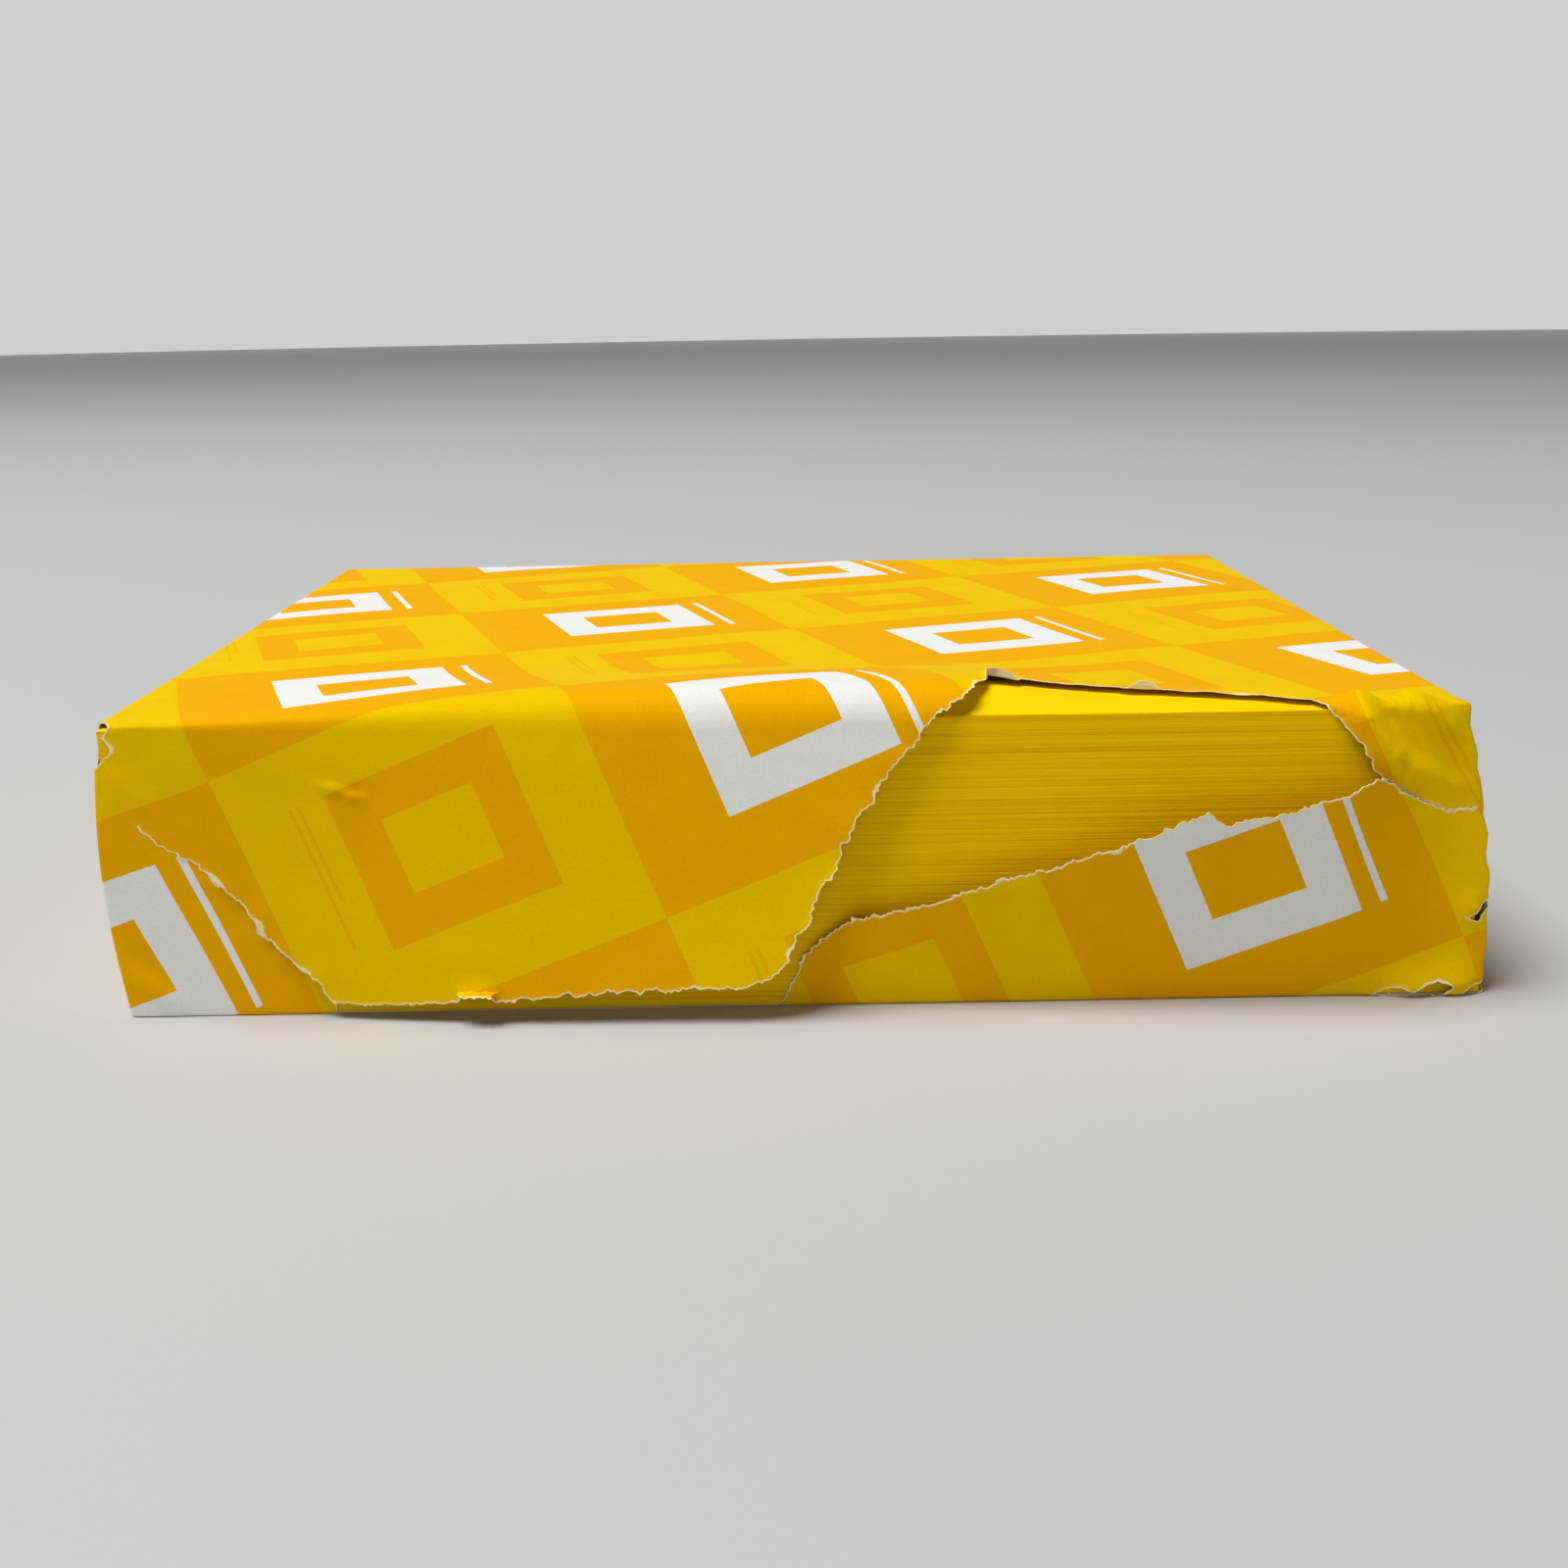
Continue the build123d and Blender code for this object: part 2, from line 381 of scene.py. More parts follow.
slab_count = SHEET_COUNT // SHEETS_PER_SLAB
slab_pitch = stack_height / slab_count
slab_middle = (stack_low[1] + stack_high[1]) / 2


def only(thing):
    """Selects one object and nothing else, and makes it active."""
    deselect_all()
    thing.select_set(True)
    bpy.context.view_layer.objects.active = thing


deselect_all()
bpy.ops.mesh.primitive_cube_add(size=1)
slab = bpy.context.object
slab.name = "slab"
slab.scale = (SHEET_LENGTH * MM, (stack_high[1] - stack_low[1]) * MM, slab_pitch * MM)
bpy.ops.object.transform_apply(location=False, rotation=False, scale=True)
bpy.ops.object.mode_set(mode="EDIT")
for cut in np.arange(-half_length + STRIP, half_length, STRIP):
    bpy.ops.mesh.select_all(action="SELECT")
    bpy.ops.mesh.bisect(plane_co=(cut * MM, 0, 0), plane_no=(1, 0, 0))
bpy.ops.object.mode_set(mode="OBJECT")
print("one slab:", len(slab.data.polygons), "faces")

# %% Measures of the stack
SLIDE = 0.09  # how far a sheet's edge may stand out or in, shared out as follows
OWN_SHARE = 0.55  # each slab by itself
DRIFT_SHARE = 0.5  # neighbouring slabs together
WAVER_SHARE = 0.35  # along one slab
DRIFT_HEIGHT = 3.0
WAVER_LENGTH = 55.0
WAVER_CHANGE = 0.37  # from one slab to the next
TIGHT_GAP = 0.011  # the dark line between two slabs
LOOSE_GAP = 0.044
LOOSE_CHANCE = 0.10  # of a slab with a loose gap, and how much more near the top
LOOSE_CHANCE_TOP = 0.25
TOP_SHARE = 0.88
FRONT_SQUASH = 0.984  # the torn side has been handled, and lies a little lower there

# %% The stack
random.seed(11)
points = np.empty(len(slab.data.vertices) * 3)
slab.data.vertices.foreach_get("co", points)
points = points.reshape(-1, 3) / MM
slabs = []
for level in range(slab_count):
    middle = stack_low[2] + (level + 0.5) * slab_pitch
    drift = noise.noise(Vector((0.0, 3.1, middle / DRIFT_HEIGHT))) * SLIDE * DRIFT_SHARE
    own = random.uniform(-1, 1) * SLIDE * OWN_SHARE + drift
    loose = random.random() < LOOSE_CHANCE + LOOSE_CHANCE_TOP * (level > slab_count * TOP_SHARE)
    waver = [noise.noise(Vector((x / WAVER_LENGTH, level * WAVER_CHANGE, 0.0))) for x in points[:, 0]]
    placed = points.copy()
    placed[:, 1] += slab_middle + own + np.array(waver) * SLIDE * WAVER_SHARE
    placed[:, 1] = np.clip(placed[:, 1], stack_low[1], stack_high[1])
    thinner = 1 - (LOOSE_GAP if loose else TIGHT_GAP) / slab_pitch
    placed[:, 2] = placed[:, 2] * thinner + middle
    placed[points[:, 1] < 0, 2] *= FRONT_SQUASH
    placed[:, 0] += lean_shift(middle)
    copy = slab.copy()
    copy.data = slab.data.copy()
    copy.data.vertices.foreach_set("co", (placed * MM).ravel())
    bpy.context.scene.collection.objects.link(copy)
    slabs.append(copy)
bpy.data.objects.remove(slab)
only(slabs[0])
for copy in slabs:
    copy.select_set(True)
bpy.ops.object.join()
stack = bpy.context.object
stack.name = "sheets"
print("stack:", slab_count, "slabs,", len(stack.data.polygons), "faces")

# %% [markdown]
# ## Yellow copy paper
#
# Uncoated, dyed in the pulp, so a cut edge is as yellow as the face. It is quite matt. At the edge
# every sheet takes the light a little differently, which the material draws as thin level streaks.
# The face of a sheet has none: where the surface looks up, the streaks' ramp is read at its plain
# end.

# %% Sheet material
SHEET_YELLOW = "#ffd400"
SHEET_SHADE = "#f0b000"
STREAKS = (8.0, 8.0, 4200.0)  # per metre: 125 mm long and a quarter of a millimetre high
GRAIN = 900.0  # per metre
SHADE_AT, YELLOW_AT = 0.28, 0.52  # the streaks' noise at the two ends of the ramp

sheet_material, tree, shader = new_material("copy_paper_dyed_yellow")
coordinates = node(tree, "TexCoord")
place = coordinates.outputs["Object"]
streak_space = node(tree, "Mapping", {"Vector": place, "Scale": STREAKS})
streaks = node(tree, "TexNoise", {"Vector": streak_space, "Scale": 1.0, "Detail": 2.0})
facing = node(tree, "SeparateXYZ", {0: coordinates.outputs["Normal"]})
edge_streaks = node(tree, "Math", {0: streaks, 1: facing.outputs["Z"]}, operation="ADD")
ramp = node(tree, "ValToRGB", {"Fac": edge_streaks})
ramp.color_ramp.elements[0].position = SHADE_AT
ramp.color_ramp.elements[0].color = colour(SHEET_SHADE)
ramp.color_ramp.elements[1].position = YELLOW_AT
ramp.color_ramp.elements[1].color = colour(SHEET_YELLOW)
tree.links.new(ramp.outputs["Color"], shader.inputs["Base Color"])
shader.inputs["Roughness"].default_value = 0.85
shader.inputs["Specular IOR Level"].default_value = 0.05
grain = node(tree, "TexNoise", {"Vector": place, "Scale": GRAIN, "Detail": 3.0})
bump = node(tree, "Bump", {"Strength": 0.2, "Distance": 0.3 * MM, "Height": grain})
tree.links.new(bump.outputs["Normal"], shader.inputs["Normal"])
stack.data.materials.clear()
stack.data.materials.append(sheet_material)
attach(stack, "root")
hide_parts("paper_stack")
print("sheet material:", sheet_material.name)

# %% [markdown]
# ## The wrapper as a flat sheet
#
# A tear and a fold are easiest to get right in the order they happen: lay the sheet flat, tear its
# outline, then fold it. Points of the flat sheet are written (along, down): along the ream from
# its middle, and down the torn side from the front fold. A negative "down" is up on the top panel,
# so one pair of numbers follows the sheet all the way round. An outline is a short list of points,
# and one function roughens it into a torn edge. This can't be had from a primitive and edit
# operators, so the sheet's mesh is made by a triangulation that keeps the torn outline.

# %% Outlines of the tears
FLAP_EDGE = [
    (41.5, -5.4), (37.5, 1.6), (33.0, 4.4), (29.9, 6.4), (27.7, 9.4), (23.3, 13.7), (19.8, 17.9),
    (15.7, 23.2), (12.3, 27.7), (9.9, 31.3), (7.9, 35.8), (5.0, 38.7), (2.4, 44.8), (-0.2, 47.8),
    (-2.7, 52.4), (-5.1, 54.9), (-7.4, 56.8), (-10.9, 57.6), (-24.7, 57.9), (-39.4, 58.3),
    (-52.1, 59.2), (-60.9, 59.9), (-68.7, 60.2), (-97.1, 60.2),
]
LIP_EDGE = [
    (112.5, 1.5), (109.5, -4.0), (98.4, -8.6), (88.0, -11.2), (80.5, -12.6), (79.0, -10.4),
    (76.5, -9.6), (73.6, -12.2), (72.0, -14.4), (60.0, -16.2), (51.5, -16.2), (49.5, -11.4),
    (46.0, -9.8), (43.2, -8.2), (41.5, -5.4),
]
LOWER_EDGE = [
    (-4.6, 60.1), (-1.0, 53.1), (2.4, 48.3), (6.6, 45.2), (10.9, 42.8), (17.1, 41.2), (27.3, 38.7),
    (40.8, 34.2), (53.0, 31.0), (58.1, 29.0), (68.3, 25.9), (74.5, 23.5), (80.7, 21.0), (84.0, 19.3),
    (85.3, 21.6), (87.7, 22.5), (91.8, 21.2), (97.9, 20.2), (107.8, 17.6), (113.9, 15.6), (119.9, 13.5),
]
CORNER_EDGE = [(119.9, 13.3), (118.4, 10.6), (117.3, 7.6), (115.3, 4.5), (112.5, 1.5)]
LEFT_TEAR = [
    (-97.1, 60.2), (-100.3, 54.6), (-104.1, 51.2), (-110.5, 44.5), (-115.5, 36.3), (-120.9, 30.2),
    (-126.4, 26.1), (-131.8, 21.2),
]
RIGHT_TEAR = [(119.9, 13.5), (122.8, 16.3), (127.7, 19.4), (133.6, 22.6), (138.3, 22.0)]
FOLD_TEAR = [(-97.5, 61.5), (-60.0, 61.9), (-30.0, 62.1), (-5.5, 61.6)]  # along the bottom fold

# Small holes: at the top left corner, in the right-hand edge, and two at the bottom right corner
HOLES = [
    [(-143.0, -3.2), (-138.6, -2.6), (-137.2, 0.4), (-138.2, 2.8), (-137.0, 5.2), (-139.0, 8.4),
     (-142.5, 8.9)],
    [(135.6, 45.2), (137.4, 44.4), (138.6, 42.6), (141.4, 41.0), (141.8, 42.2), (139.4, 43.9),
     (137.9, 46.0)],
    [(117.0, 61.5), (121.0, 59.6), (125.5, 60.3), (130.0, 58.0), (133.5, 59.4), (131.0, 61.6),
     (124.0, 62.4)],
    [(135.5, 61.6), (137.5, 59.8), (141.5, 59.3), (142.3, 61.2), (138.5, 62.3)],
]
print("the flap's edge has", len(FLAP_EDGE), "points, the lip's", len(LIP_EDGE))

# %% Torn edges
COARSE_TOOTH, COARSE_WEIGHT = 3.1, 1.4  # length of a tooth in mm, and how much it counts
FINE_TOOTH, FINE_WEIGHT = 0.9, 1.3
TOOTH_STEP = 0.6  # between points of a torn edge
SLIT_WIDTH = 0.25  # of a closed tear at its mouth


def ragged(points, seed, tooth=0.5):
    """A torn edge: the line through the points, with teeth to both sides of it."""
    made = [points[0]]
    for (x0, y0), (x1, y1) in zip(points, points[1:]):
        length = hypot(x1 - x0, y1 - y0)
        count = max(1, round(length / TOOTH_STEP))
        for i in range(1, count + 1):
            x, y = x0 + (x1 - x0) * i / count, y0 + (y1 - y0) * i / count
            coarse = noise.noise(Vector((x / COARSE_TOOTH, y / COARSE_TOOTH, seed)))
            fine = noise.noise(Vector((x / FINE_TOOTH, y / FINE_TOOTH, seed + 5.0)))
            off = tooth * (COARSE_WEIGHT * coarse + FINE_WEIGHT * fine)
            if i == count and (x1, y1) == points[-1]:
                off = 0.0
            made.append((x - (y1 - y0) / length * off, y + (x1 - x0) / length * off))
    return made


def slit(points, seed):
    """Both sides of a tear that hasn't opened, from its mouth to its tip and back again."""
    line = ragged(points, seed)
    back_side = []
    for i, (x, y) in reversed(list(enumerate(line[:-1]))):
        x1, y1 = line[i + 1]
        length = hypot(x1 - x, y1 - y)
        apart = SLIT_WIDTH * (1 - i / len(line))
        back_side.append((x - (y1 - y) / length * apart, y + (x1 - x) / length * apart))
    return line, back_side


left_lower, left_upper = slit(LEFT_TEAR, 21.0)
right_upper, right_lower = slit(RIGHT_TEAR, 31.0)
upper_side = [
    left_upper,
    ragged(FLAP_EDGE[::-1], 1.0, tooth=0.6)[1:],
    ragged(LIP_EDGE[::-1], 41.0, tooth=0.3)[1:],
    ragged(CORNER_EDGE[::-1], 61.0)[1:],
    right_upper[1:],
]
lower_side = [
    right_lower,
    ragged(LOWER_EDGE[::-1], 51.0, tooth=0.6)[1:],
    ragged(FOLD_TEAR[::-1], 71.0, tooth=0.2)[1:],
    left_lower[1:],
]
opening = [spot for line in upper_side + lower_side for spot in line]
holes = [ragged(hole + hole[:1], 81.0 + number, tooth=0.4)[:-1] for number, hole in enumerate(HOLES)]
torn_lines = upper_side + lower_side + holes
print(len(opening), "points round the opening")

# %% [markdown]
# ## From outline to mesh
#
# The whole sheet is a tube's worth of paper with a flap or a tuck at each end of each panel, and a
# lap where its two long borders meet under the stack. Inside the outline go rows of points, close
# together where the sheet bends and wide apart where it lies flat, and a constrained triangulation
# joins them all.

# %% The outline of the flat sheet
END_FLAP = 44.0
TUCK = 48.0
LAP_OUTER = 150.8  # of the bottom panel that comes from the torn side
LAP_INNER = 90.8  # of the bottom panel that comes from the back
BORDER_STEP = 4.0  # between points of the outline

side = top  # height of a side panel
sheet_end = half_length + SKIN_GAP + SKIN
over_back = -depth  # the fold at the top of the back panel
under_back = -depth - side
lap_end = under_back - LAP_INNER
outer_end = side + LAP_OUTER
flap_end = sheet_end + END_FLAP
tuck_end = sheet_end + TUCK

right_half = [
    (flap_end, outer_end), (flap_end, side + END_FLAP), (sheet_end, side),
    (tuck_end, side), (tuck_end, 0.0), (sheet_end, 0.0),
    (flap_end, -END_FLAP), (flap_end, over_back + END_FLAP), (sheet_end, over_back),
    (tuck_end, over_back), (tuck_end, under_back), (sheet_end, under_back),
    (flap_end, under_back - END_FLAP), (flap_end, lap_end),
]
corner_spots = right_half + [(-x, s) for x, s in reversed(right_half)]
sheet_outline = []
for (x0, s0), (x1, s1) in zip(corner_spots, corner_spots[1:] + corner_spots[:1]):
    count = max(1, round(hypot(x1 - x0, s1 - s0) / BORDER_STEP))
    sheet_outline += [(x0 + (x1 - x0) * i / count, s0 + (s1 - s0) * i / count) for i in range(count)]
print("flat sheet, mm:", round(2 * tuck_end), "by", round(outer_end - lap_end))

# %% Tests on the flat sheet
FAR = 99.0  # stands for any distance too great to matter


def inside_polygon(points, polygon):
    """Which points lie inside a closed polygon, by counting the edges to one side of them."""
    px, py = points[:, 0], points[:, 1]
    found = np.zeros(len(points), bool)
    for (x0, y0), (x1, y1) in zip(polygon, polygon[1:] + polygon[:1]):
        if y0 == y1:
            continue
        crosses = (py < y0) != (py < y1)
        found ^= crosses & (px < x0 + (py - y0) / (y1 - y0) * (x1 - x0))
    return found


def on_sheet(points):
    """Which flat points are paper: inside the outline and in none of the openings."""
    found = inside_polygon(points, sheet_outline)
    for gap in [opening] + holes:
        found &= ~inside_polygon(points, gap)
    return found


def distance_to_tear(points, margin):
    """The distance from each point to the nearest tear, in mm, where it is within the margin."""
    spots = np.array([spot for line in torn_lines for spot in line])
    distance = np.full(len(points), FAR)
    near = (points[:, 1] > -16 - margin) & (points[:, 1] < side + 6 + margin)
    distance[near] = [np.hypot(spots[:, 0] - x, spots[:, 1] - s).min() for x, s in points[near]]
    return distance


# %% Points of the flat sheet
CREASE = 0.8  # radius of a sharp fold
CREASE_STEPS = (-3.0, -1.6, -0.8, -0.4, 0.0, 0.4, 0.8, 1.6, 3.0)
RIM_RINGS = (-1.5, -0.7, 0.7, 1.5)  # distances from a tear of the points that let its rim curl
CLEAR_OF_TEAR = 0.45


def places(creases, runs):
    """Sorted places along one direction: a close group at each crease, and evenly spaced runs."""
    close = [crease + step for crease in creases for step in CREASE_STEPS]
    even = []
    for low, high, step in runs:
        even += list(np.linspace(low, high, round((high - low) / step) + 1))
    loose = [place for place in even if min(abs(place - other) for other in close) > 0.7]
    return sorted(close + loose)


columns = places(
    (-sheet_end, sheet_end),
    [(-tuck_end, -sheet_end, 4), (-sheet_end, sheet_end, 3), (sheet_end, tuck_end, 4)],
)
rows = places(
    (under_back, over_back, 0.0, side),
    [(lap_end, under_back, 12), (under_back, over_back, 4), (over_back, -60, 5), (-60, 14, 1.5),
     (14, side, 2), (side, outer_end, 12)],
)
grid = [(x, s) for x in columns for s in rows]
# Closer together in the crumpled corner and at the pinch
grid += [(x, s) for x in np.arange(113, 140, 1.1) for s in np.arange(-9, 23, 1.1)]
grid += [(x, s) for x in np.arange(-99, -82, 0.7) for s in np.arange(10, 21, 0.7)]
for line in torn_lines:
    for (x0, s0), (x1, s1) in zip(line, line[2:]):
        length = max(hypot(x1 - x0, s1 - s0), 1e-6)
        for apart in RIM_RINGS:
            grid.append((x0 - (s1 - s0) / length * apart, s0 + (x1 - x0) / length * apart))
grid = np.array(grid)
grid = grid[on_sheet(grid)]
grid = grid[distance_to_tear(grid, 0) > CLEAR_OF_TEAR]
print(len(grid), "points inside the outline")

# %% Triangles of the flat sheet
flat_points, edges = [], []
for outline in [sheet_outline, opening] + holes:
    first, count = len(flat_points), len(outline)
    flat_points += outline
    edges += [(first + i, first + (i + 1) % count) for i in range(count)]
flat_points += [tuple(point) for point in grid]
corners, _, faces, sources, _, _ = delaunay_2d_cdt(
    [Vector((x, -s)) for x, s in flat_points], edges, [], 0, 1e-4
)
flat = np.array([(corner.x, -corner.y) for corner in corners])
faces = np.array(faces)
faces = faces[on_sheet(flat[faces].mean(axis=1))]
print(len(flat), "points and", len(faces), "triangles in the flat sheet")

# %% [markdown]
# Two things are noted for each point while the sheet is still flat: how far it is from a tear, and
# whether it belongs to the pieces below the opening, which fold up from the bottom, or to the sheet
# above it. Points on the opening's rim know their side from the outline they came from.

# %% Marks on the flat sheet
torn = distance_to_tear(flat, 14)

boundary = LEFT_TEAR[::-1] + [(-96.0, 61.35), (-6.0, 61.35)]
boundary += [(x, s - 1.8) for x, s in LOWER_EDGE[:-1]] + RIGHT_TEAR
edge_x, edge_s = zip(*boundary)
lower = flat[:, 1] > np.interp(flat[:, 0], edge_x, edge_s)
first_lower = len(sheet_outline) + sum(len(line) for line in upper_side)
for number, origin in enumerate(sources):
    rim_spots = [spot for spot in origin if 0 <= spot - len(sheet_outline) < len(opening)]
    if rim_spots:
        lower[number] = rim_spots[0] >= first_lower
print(int(lower.sum()), "points below the opening")

# %% [markdown]
# ## Folding the sheet
#
# Each flat point is carried to its place in the room. Most of the sheet is pulled tight round the
# stack: flat panels, with a small round at each fold.

# %% Tight section
INNER_PLY = 0.22  # the lap lifts the inner ply by its own thickness
LAP_RAMP = 4.0


def ease(value, start, end):
    """0 before the start, 1 past the end, and a soft S between them."""
    share = np.clip((value - start) / (end - start), 0, 1)
    return share * share * (3 - 2 * share)


def tight_section(s):
    """Depth behind the torn side, and height, of a sheet pulled tight round the stack."""
    panels = [
        (under_back, (depth, 0), (1, 0)),
        (under_back, (depth, 0), (0, 1)),
        (over_back, (depth, top), (-1, 0)),
        (0.0, (0, top), (0, -1)),
        (side, (0, 0), (1, 0)),
    ]
    starts = [under_back, over_back, 0.0, side]
    which = np.searchsorted(starts, s)
    place = np.empty((len(s), 2))
    for number, (start, at, way) in enumerate(panels):
        mine = which == number
        place[mine] = np.array(at) + (s[mine, None] - start) * np.array(way)
    for number, start in enumerate(starts):
        t = (s - start + CREASE) / (2 * CREASE)
        mine = (t > 0) & (t < 1)
        t = t[mine, None]
        at = np.array(panels[number + 1][1])
        before, after = np.array(panels[number][2]), np.array(panels[number + 1][2])
        into, out_of = at - CREASE * before, at + CREASE * after
        place[mine] = (1 - t) ** 2 * into + 2 * t * (1 - t) * at + t**2 * out_of
    lapped = INNER_PLY * ease(place[:, 0], LAP_OUTER + LAP_RAMP, LAP_OUTER)
    place[:, 1] += np.where(s < under_back, lapped, 0)
    return place[:, 0], place[:, 1]


# %% [markdown]
# Along the torn side the sheet isn't tight: the top panel lifts off the stack, the fold opens into
# a wide soft bend, and the flap hangs clear and leans out. How much of each there is changes along
# the ream, and is given by a few pairs of (along, amount).

# %% Loose section
LOOSE_FROM = -55.0  # where the top panel starts to leave the stack
RISE = [
    (-138, 0), (-122, 0.3), (-108, 0.8), (-90, 2.0), (-70, 3.4), (-46, 4.1), (-19, 4.9), (11, 5.3),
    (41, 5.6), (48, 3.8), (56, 2.2), (72, 1.0), (88, 0.5), (100, 0.2), (112, 0), (140, 0),
]
BEND = [(-138, 0.8), (-110, 1.5), (-70, 4.5), (-20, 8), (44, 8), (60, 4), (112, 1), (140, 0.8)]
STAND_OUT = [(-136, 0), (-120, 0.5), (-100, 1.0), (-70, 1.4), (0, 2), (40, 3), (70, 0), (140, 0)]
LEAN_OUT = [(-108, 0), (-84, 0.06), (-60, 0.11), (-10, 0.145), (20, 0.15), (140, 0.15)]


def along_profile(x, pairs):
    """A value that changes along the ream: the pairs' straight lines, with their corners eased."""
    xs, values = zip(*pairs)
    return np.mean([np.interp(x + shift, xs, values) for shift in (-9, -4.5, 0, 4.5, 9)], axis=0)


def loose_section(x, s):
    """Depth behind the torn side, and height, of the lifted top panel and the hanging flap."""
    rise, bend = along_profile(x, RISE), along_profile(x, BEND)
    out, tilt = along_profile(x, STAND_OUT), along_profile(x, LEAN_OUT)
    run = -LOOSE_FROM - bend + out
    slope = np.hypot(run, rise)
    t = np.clip((s - LOOSE_FROM) / slope, 0, 1)
    behind = -LOOSE_FROM - t * run
    height = rise * (1 - np.cos(pi * t)) / 2
    turned = np.clip((s - LOOSE_FROM - slope) / bend, 0, pi / 2)
    behind -= bend * np.sin(turned)
    height -= bend * (1 - np.cos(turned))
    hang = np.clip(s - LOOSE_FROM - slope - bend * pi / 2, 0, None)
    return behind - tilt * hang, top + height - hang


# %% [markdown]
# The torn pieces have been handled. Two small tabs of the lip stand up, the flap's lower rim has a
# curl, and the piece below the opening leans out from the bottom fold.

# %% Bent torn pieces
STANDING_TABS = [(73.0, 81.0, -13.0), (43.5, 51.0, -13.5)]  # from, to, and the line they turn up at
TAB_HEIGHT = 3.2
CURL_FROM, CURL_TO, CURL_LINE = -70.5, -63.0, 57.4
CURL_HEIGHT = 3.0
LOWER_LEAN = 0.22
RIM_SINK = 0.6  # how far the flap's left rim hangs over the piece beside it


def bent(x, s, lower, torn):
    """How far out and up the torn pieces are bent from where the folds would put them."""
    out, up = np.zeros(len(x)), np.zeros(len(x))
    for tab_start, tab_end, turn_up in STANDING_TABS:
        tab = (x > tab_start) & (x < tab_end) & (s < -3)
        past = np.where(tab, np.clip(s - turn_up, 0, TAB_HEIGHT), 0)
        out -= past * 1.05
        up += past * 0.5
    curl = np.where((x > CURL_FROM) & (x < CURL_TO) & ~lower, np.clip(s - CURL_LINE, 0, CURL_HEIGHT), 0)
    out += curl * 0.9
    up += curl * 0.7
    lean_out = ease(x, -5, 25) * (1 - ease(x, 108, 136)) * LOWER_LEAN
    out += np.where(lower & (s > 0), np.clip(side - s, 0, None) * lean_out, 0)
    up -= np.where(~lower & (x < -97) & (s > 20), RIM_SINK * np.exp(-torn / 3), 0)
    return out, up


# %% [markdown]
# Slack paper swells slowly between its folds, always outwards, because the stack is behind it. Torn
# rims flutter. The top right corner is crumpled into sharp ridges and valleys round one soft bulge,
# and there are a few lesser creases elsewhere.

# %% Slack and creases
SLACK = 0.35
FLUTTER = 0.5
FLUTTER_REACH = 2.5  # mm from a tear
FLAT_BESIDE_FOLD = 12.0  # mm beside a fold over which the slack fades out
CORNER_BULGE = 1.3
CREASES = [  # start, end, height and half width of each
    ((116.5, -3.0), (125.5, 14.5), 3.2, 4.5),
    ((121.5, -3.0), (131.0, 19.5), -1.3, 3.4),
    ((126.0, -4.0), (139.0, 8.0), 1.3, 4.0),
    ((124.0, 11.0), (138.5, 19.0), 1.2, 3.5),
    ((131.0, 6.0), (136.0, 17.0), -0.5, 2.5),
    ((-95.5, 14.2), (-86.5, 17.8), 0.7, 1.7),
    ((-93.0, 17.0), (-86.0, 15.2), -0.4, 1.4),
    ((-31.0, -4.0), (-29.0, 13.0), 0.5, 3.0),
    ((-139.0, 8.0), (-128.0, 19.0), 0.5, 3.0),
    ((-139.5, 52.0), (-128.0, 60.0), 0.6, 3.0),
    ((-138.0, 46.0), (-130.0, 56.0), -0.3, 2.5),
    ((118.0, 60.5), (140.0, 58.5), 2.4, 6.0),
    ((134.0, 43.5), (139.0, 42.5), 1.4, 5.0),
]


def ridge(x, s, start, end, height, half_width):
    """A straight crease that stands out by its height along its line and dies out to both sides."""
    (x0, s0), (x1, s1) = start, end
    length = hypot(x1 - x0, s1 - s0)
    share = np.clip(((x - x0) * (x1 - x0) + (s - s0) * (s1 - s0)) / length**2, 0, 1)
    aside = np.hypot(x - x0 - share * (x1 - x0), s - s0 - share * (s1 - s0))
    fade = np.clip(4 * share, 0.3, 1) * np.clip(4 * (1 - share), 0.3, 1)
    return height * fade * np.clip(1 - aside / half_width, 0, 1)


def slack(x, s, lower, torn):
    """How far the paper stands off its tight or loose place, in mm."""
    from_end = sheet_end - abs(np.clip(x, -sheet_end, sheet_end))
    swell, flutter = np.empty(len(x)), np.empty(len(x))
    for i, (u, v) in enumerate(zip(x, s)):
        swell[i] = noise.noise(Vector((u / 42, v / 30, 7.0)))
        flutter[i] = noise.noise(Vector((u / 6, v / 6, 3.0)))
    from_fold = np.minimum.reduce([abs(s), abs(s - side), abs(s - over_back), from_end])
    away = ease(from_fold, 0, FLAT_BESIDE_FOLD)
    outward = SLACK * away * (swell + 0.5) + FLUTTER * flutter * np.exp(-torn / FLUTTER_REACH) * away
    creased = sum(ridge(x, s, *crease) for crease in CREASES)
    bulge = ease(x, 113, 118) * ease(x, 138, 130) * ease(s, 24, 12) * ease(s, -9, 0)
    return outward + (creased + CORNER_BULGE * bulge * ~lower) * ease(from_end, 0, 3)


# %% [markdown]
# At each end the two side panels' tucks fold in first, then the flap from below and the one from
# above. Each lies in its own layer, a little outside the one before, and the whole end swells. The
# right end's front edge is dented.

# %% The ends
END_SWELL = 2.6  # how far the ends puff out between their top and bottom edges
SWELL_REACH = 26.0  # mm before the end where the side panels start to swell with it
LAYERS = {"tuck": 0.05, "inner": 0.25, "outer": 0.45, "top": 0.65}
LAYER_RAMP = 5.0
TUCK_INSET = 0.035  # a tuck is this share narrower than the end, so it stays inside the folds
ROUNDING = 0.01
EDGE_DENTS = 1.3
DENT_HEIGHT, DENT_REACH, DENT_WIDTH = 4.5, 5.0, 7.0


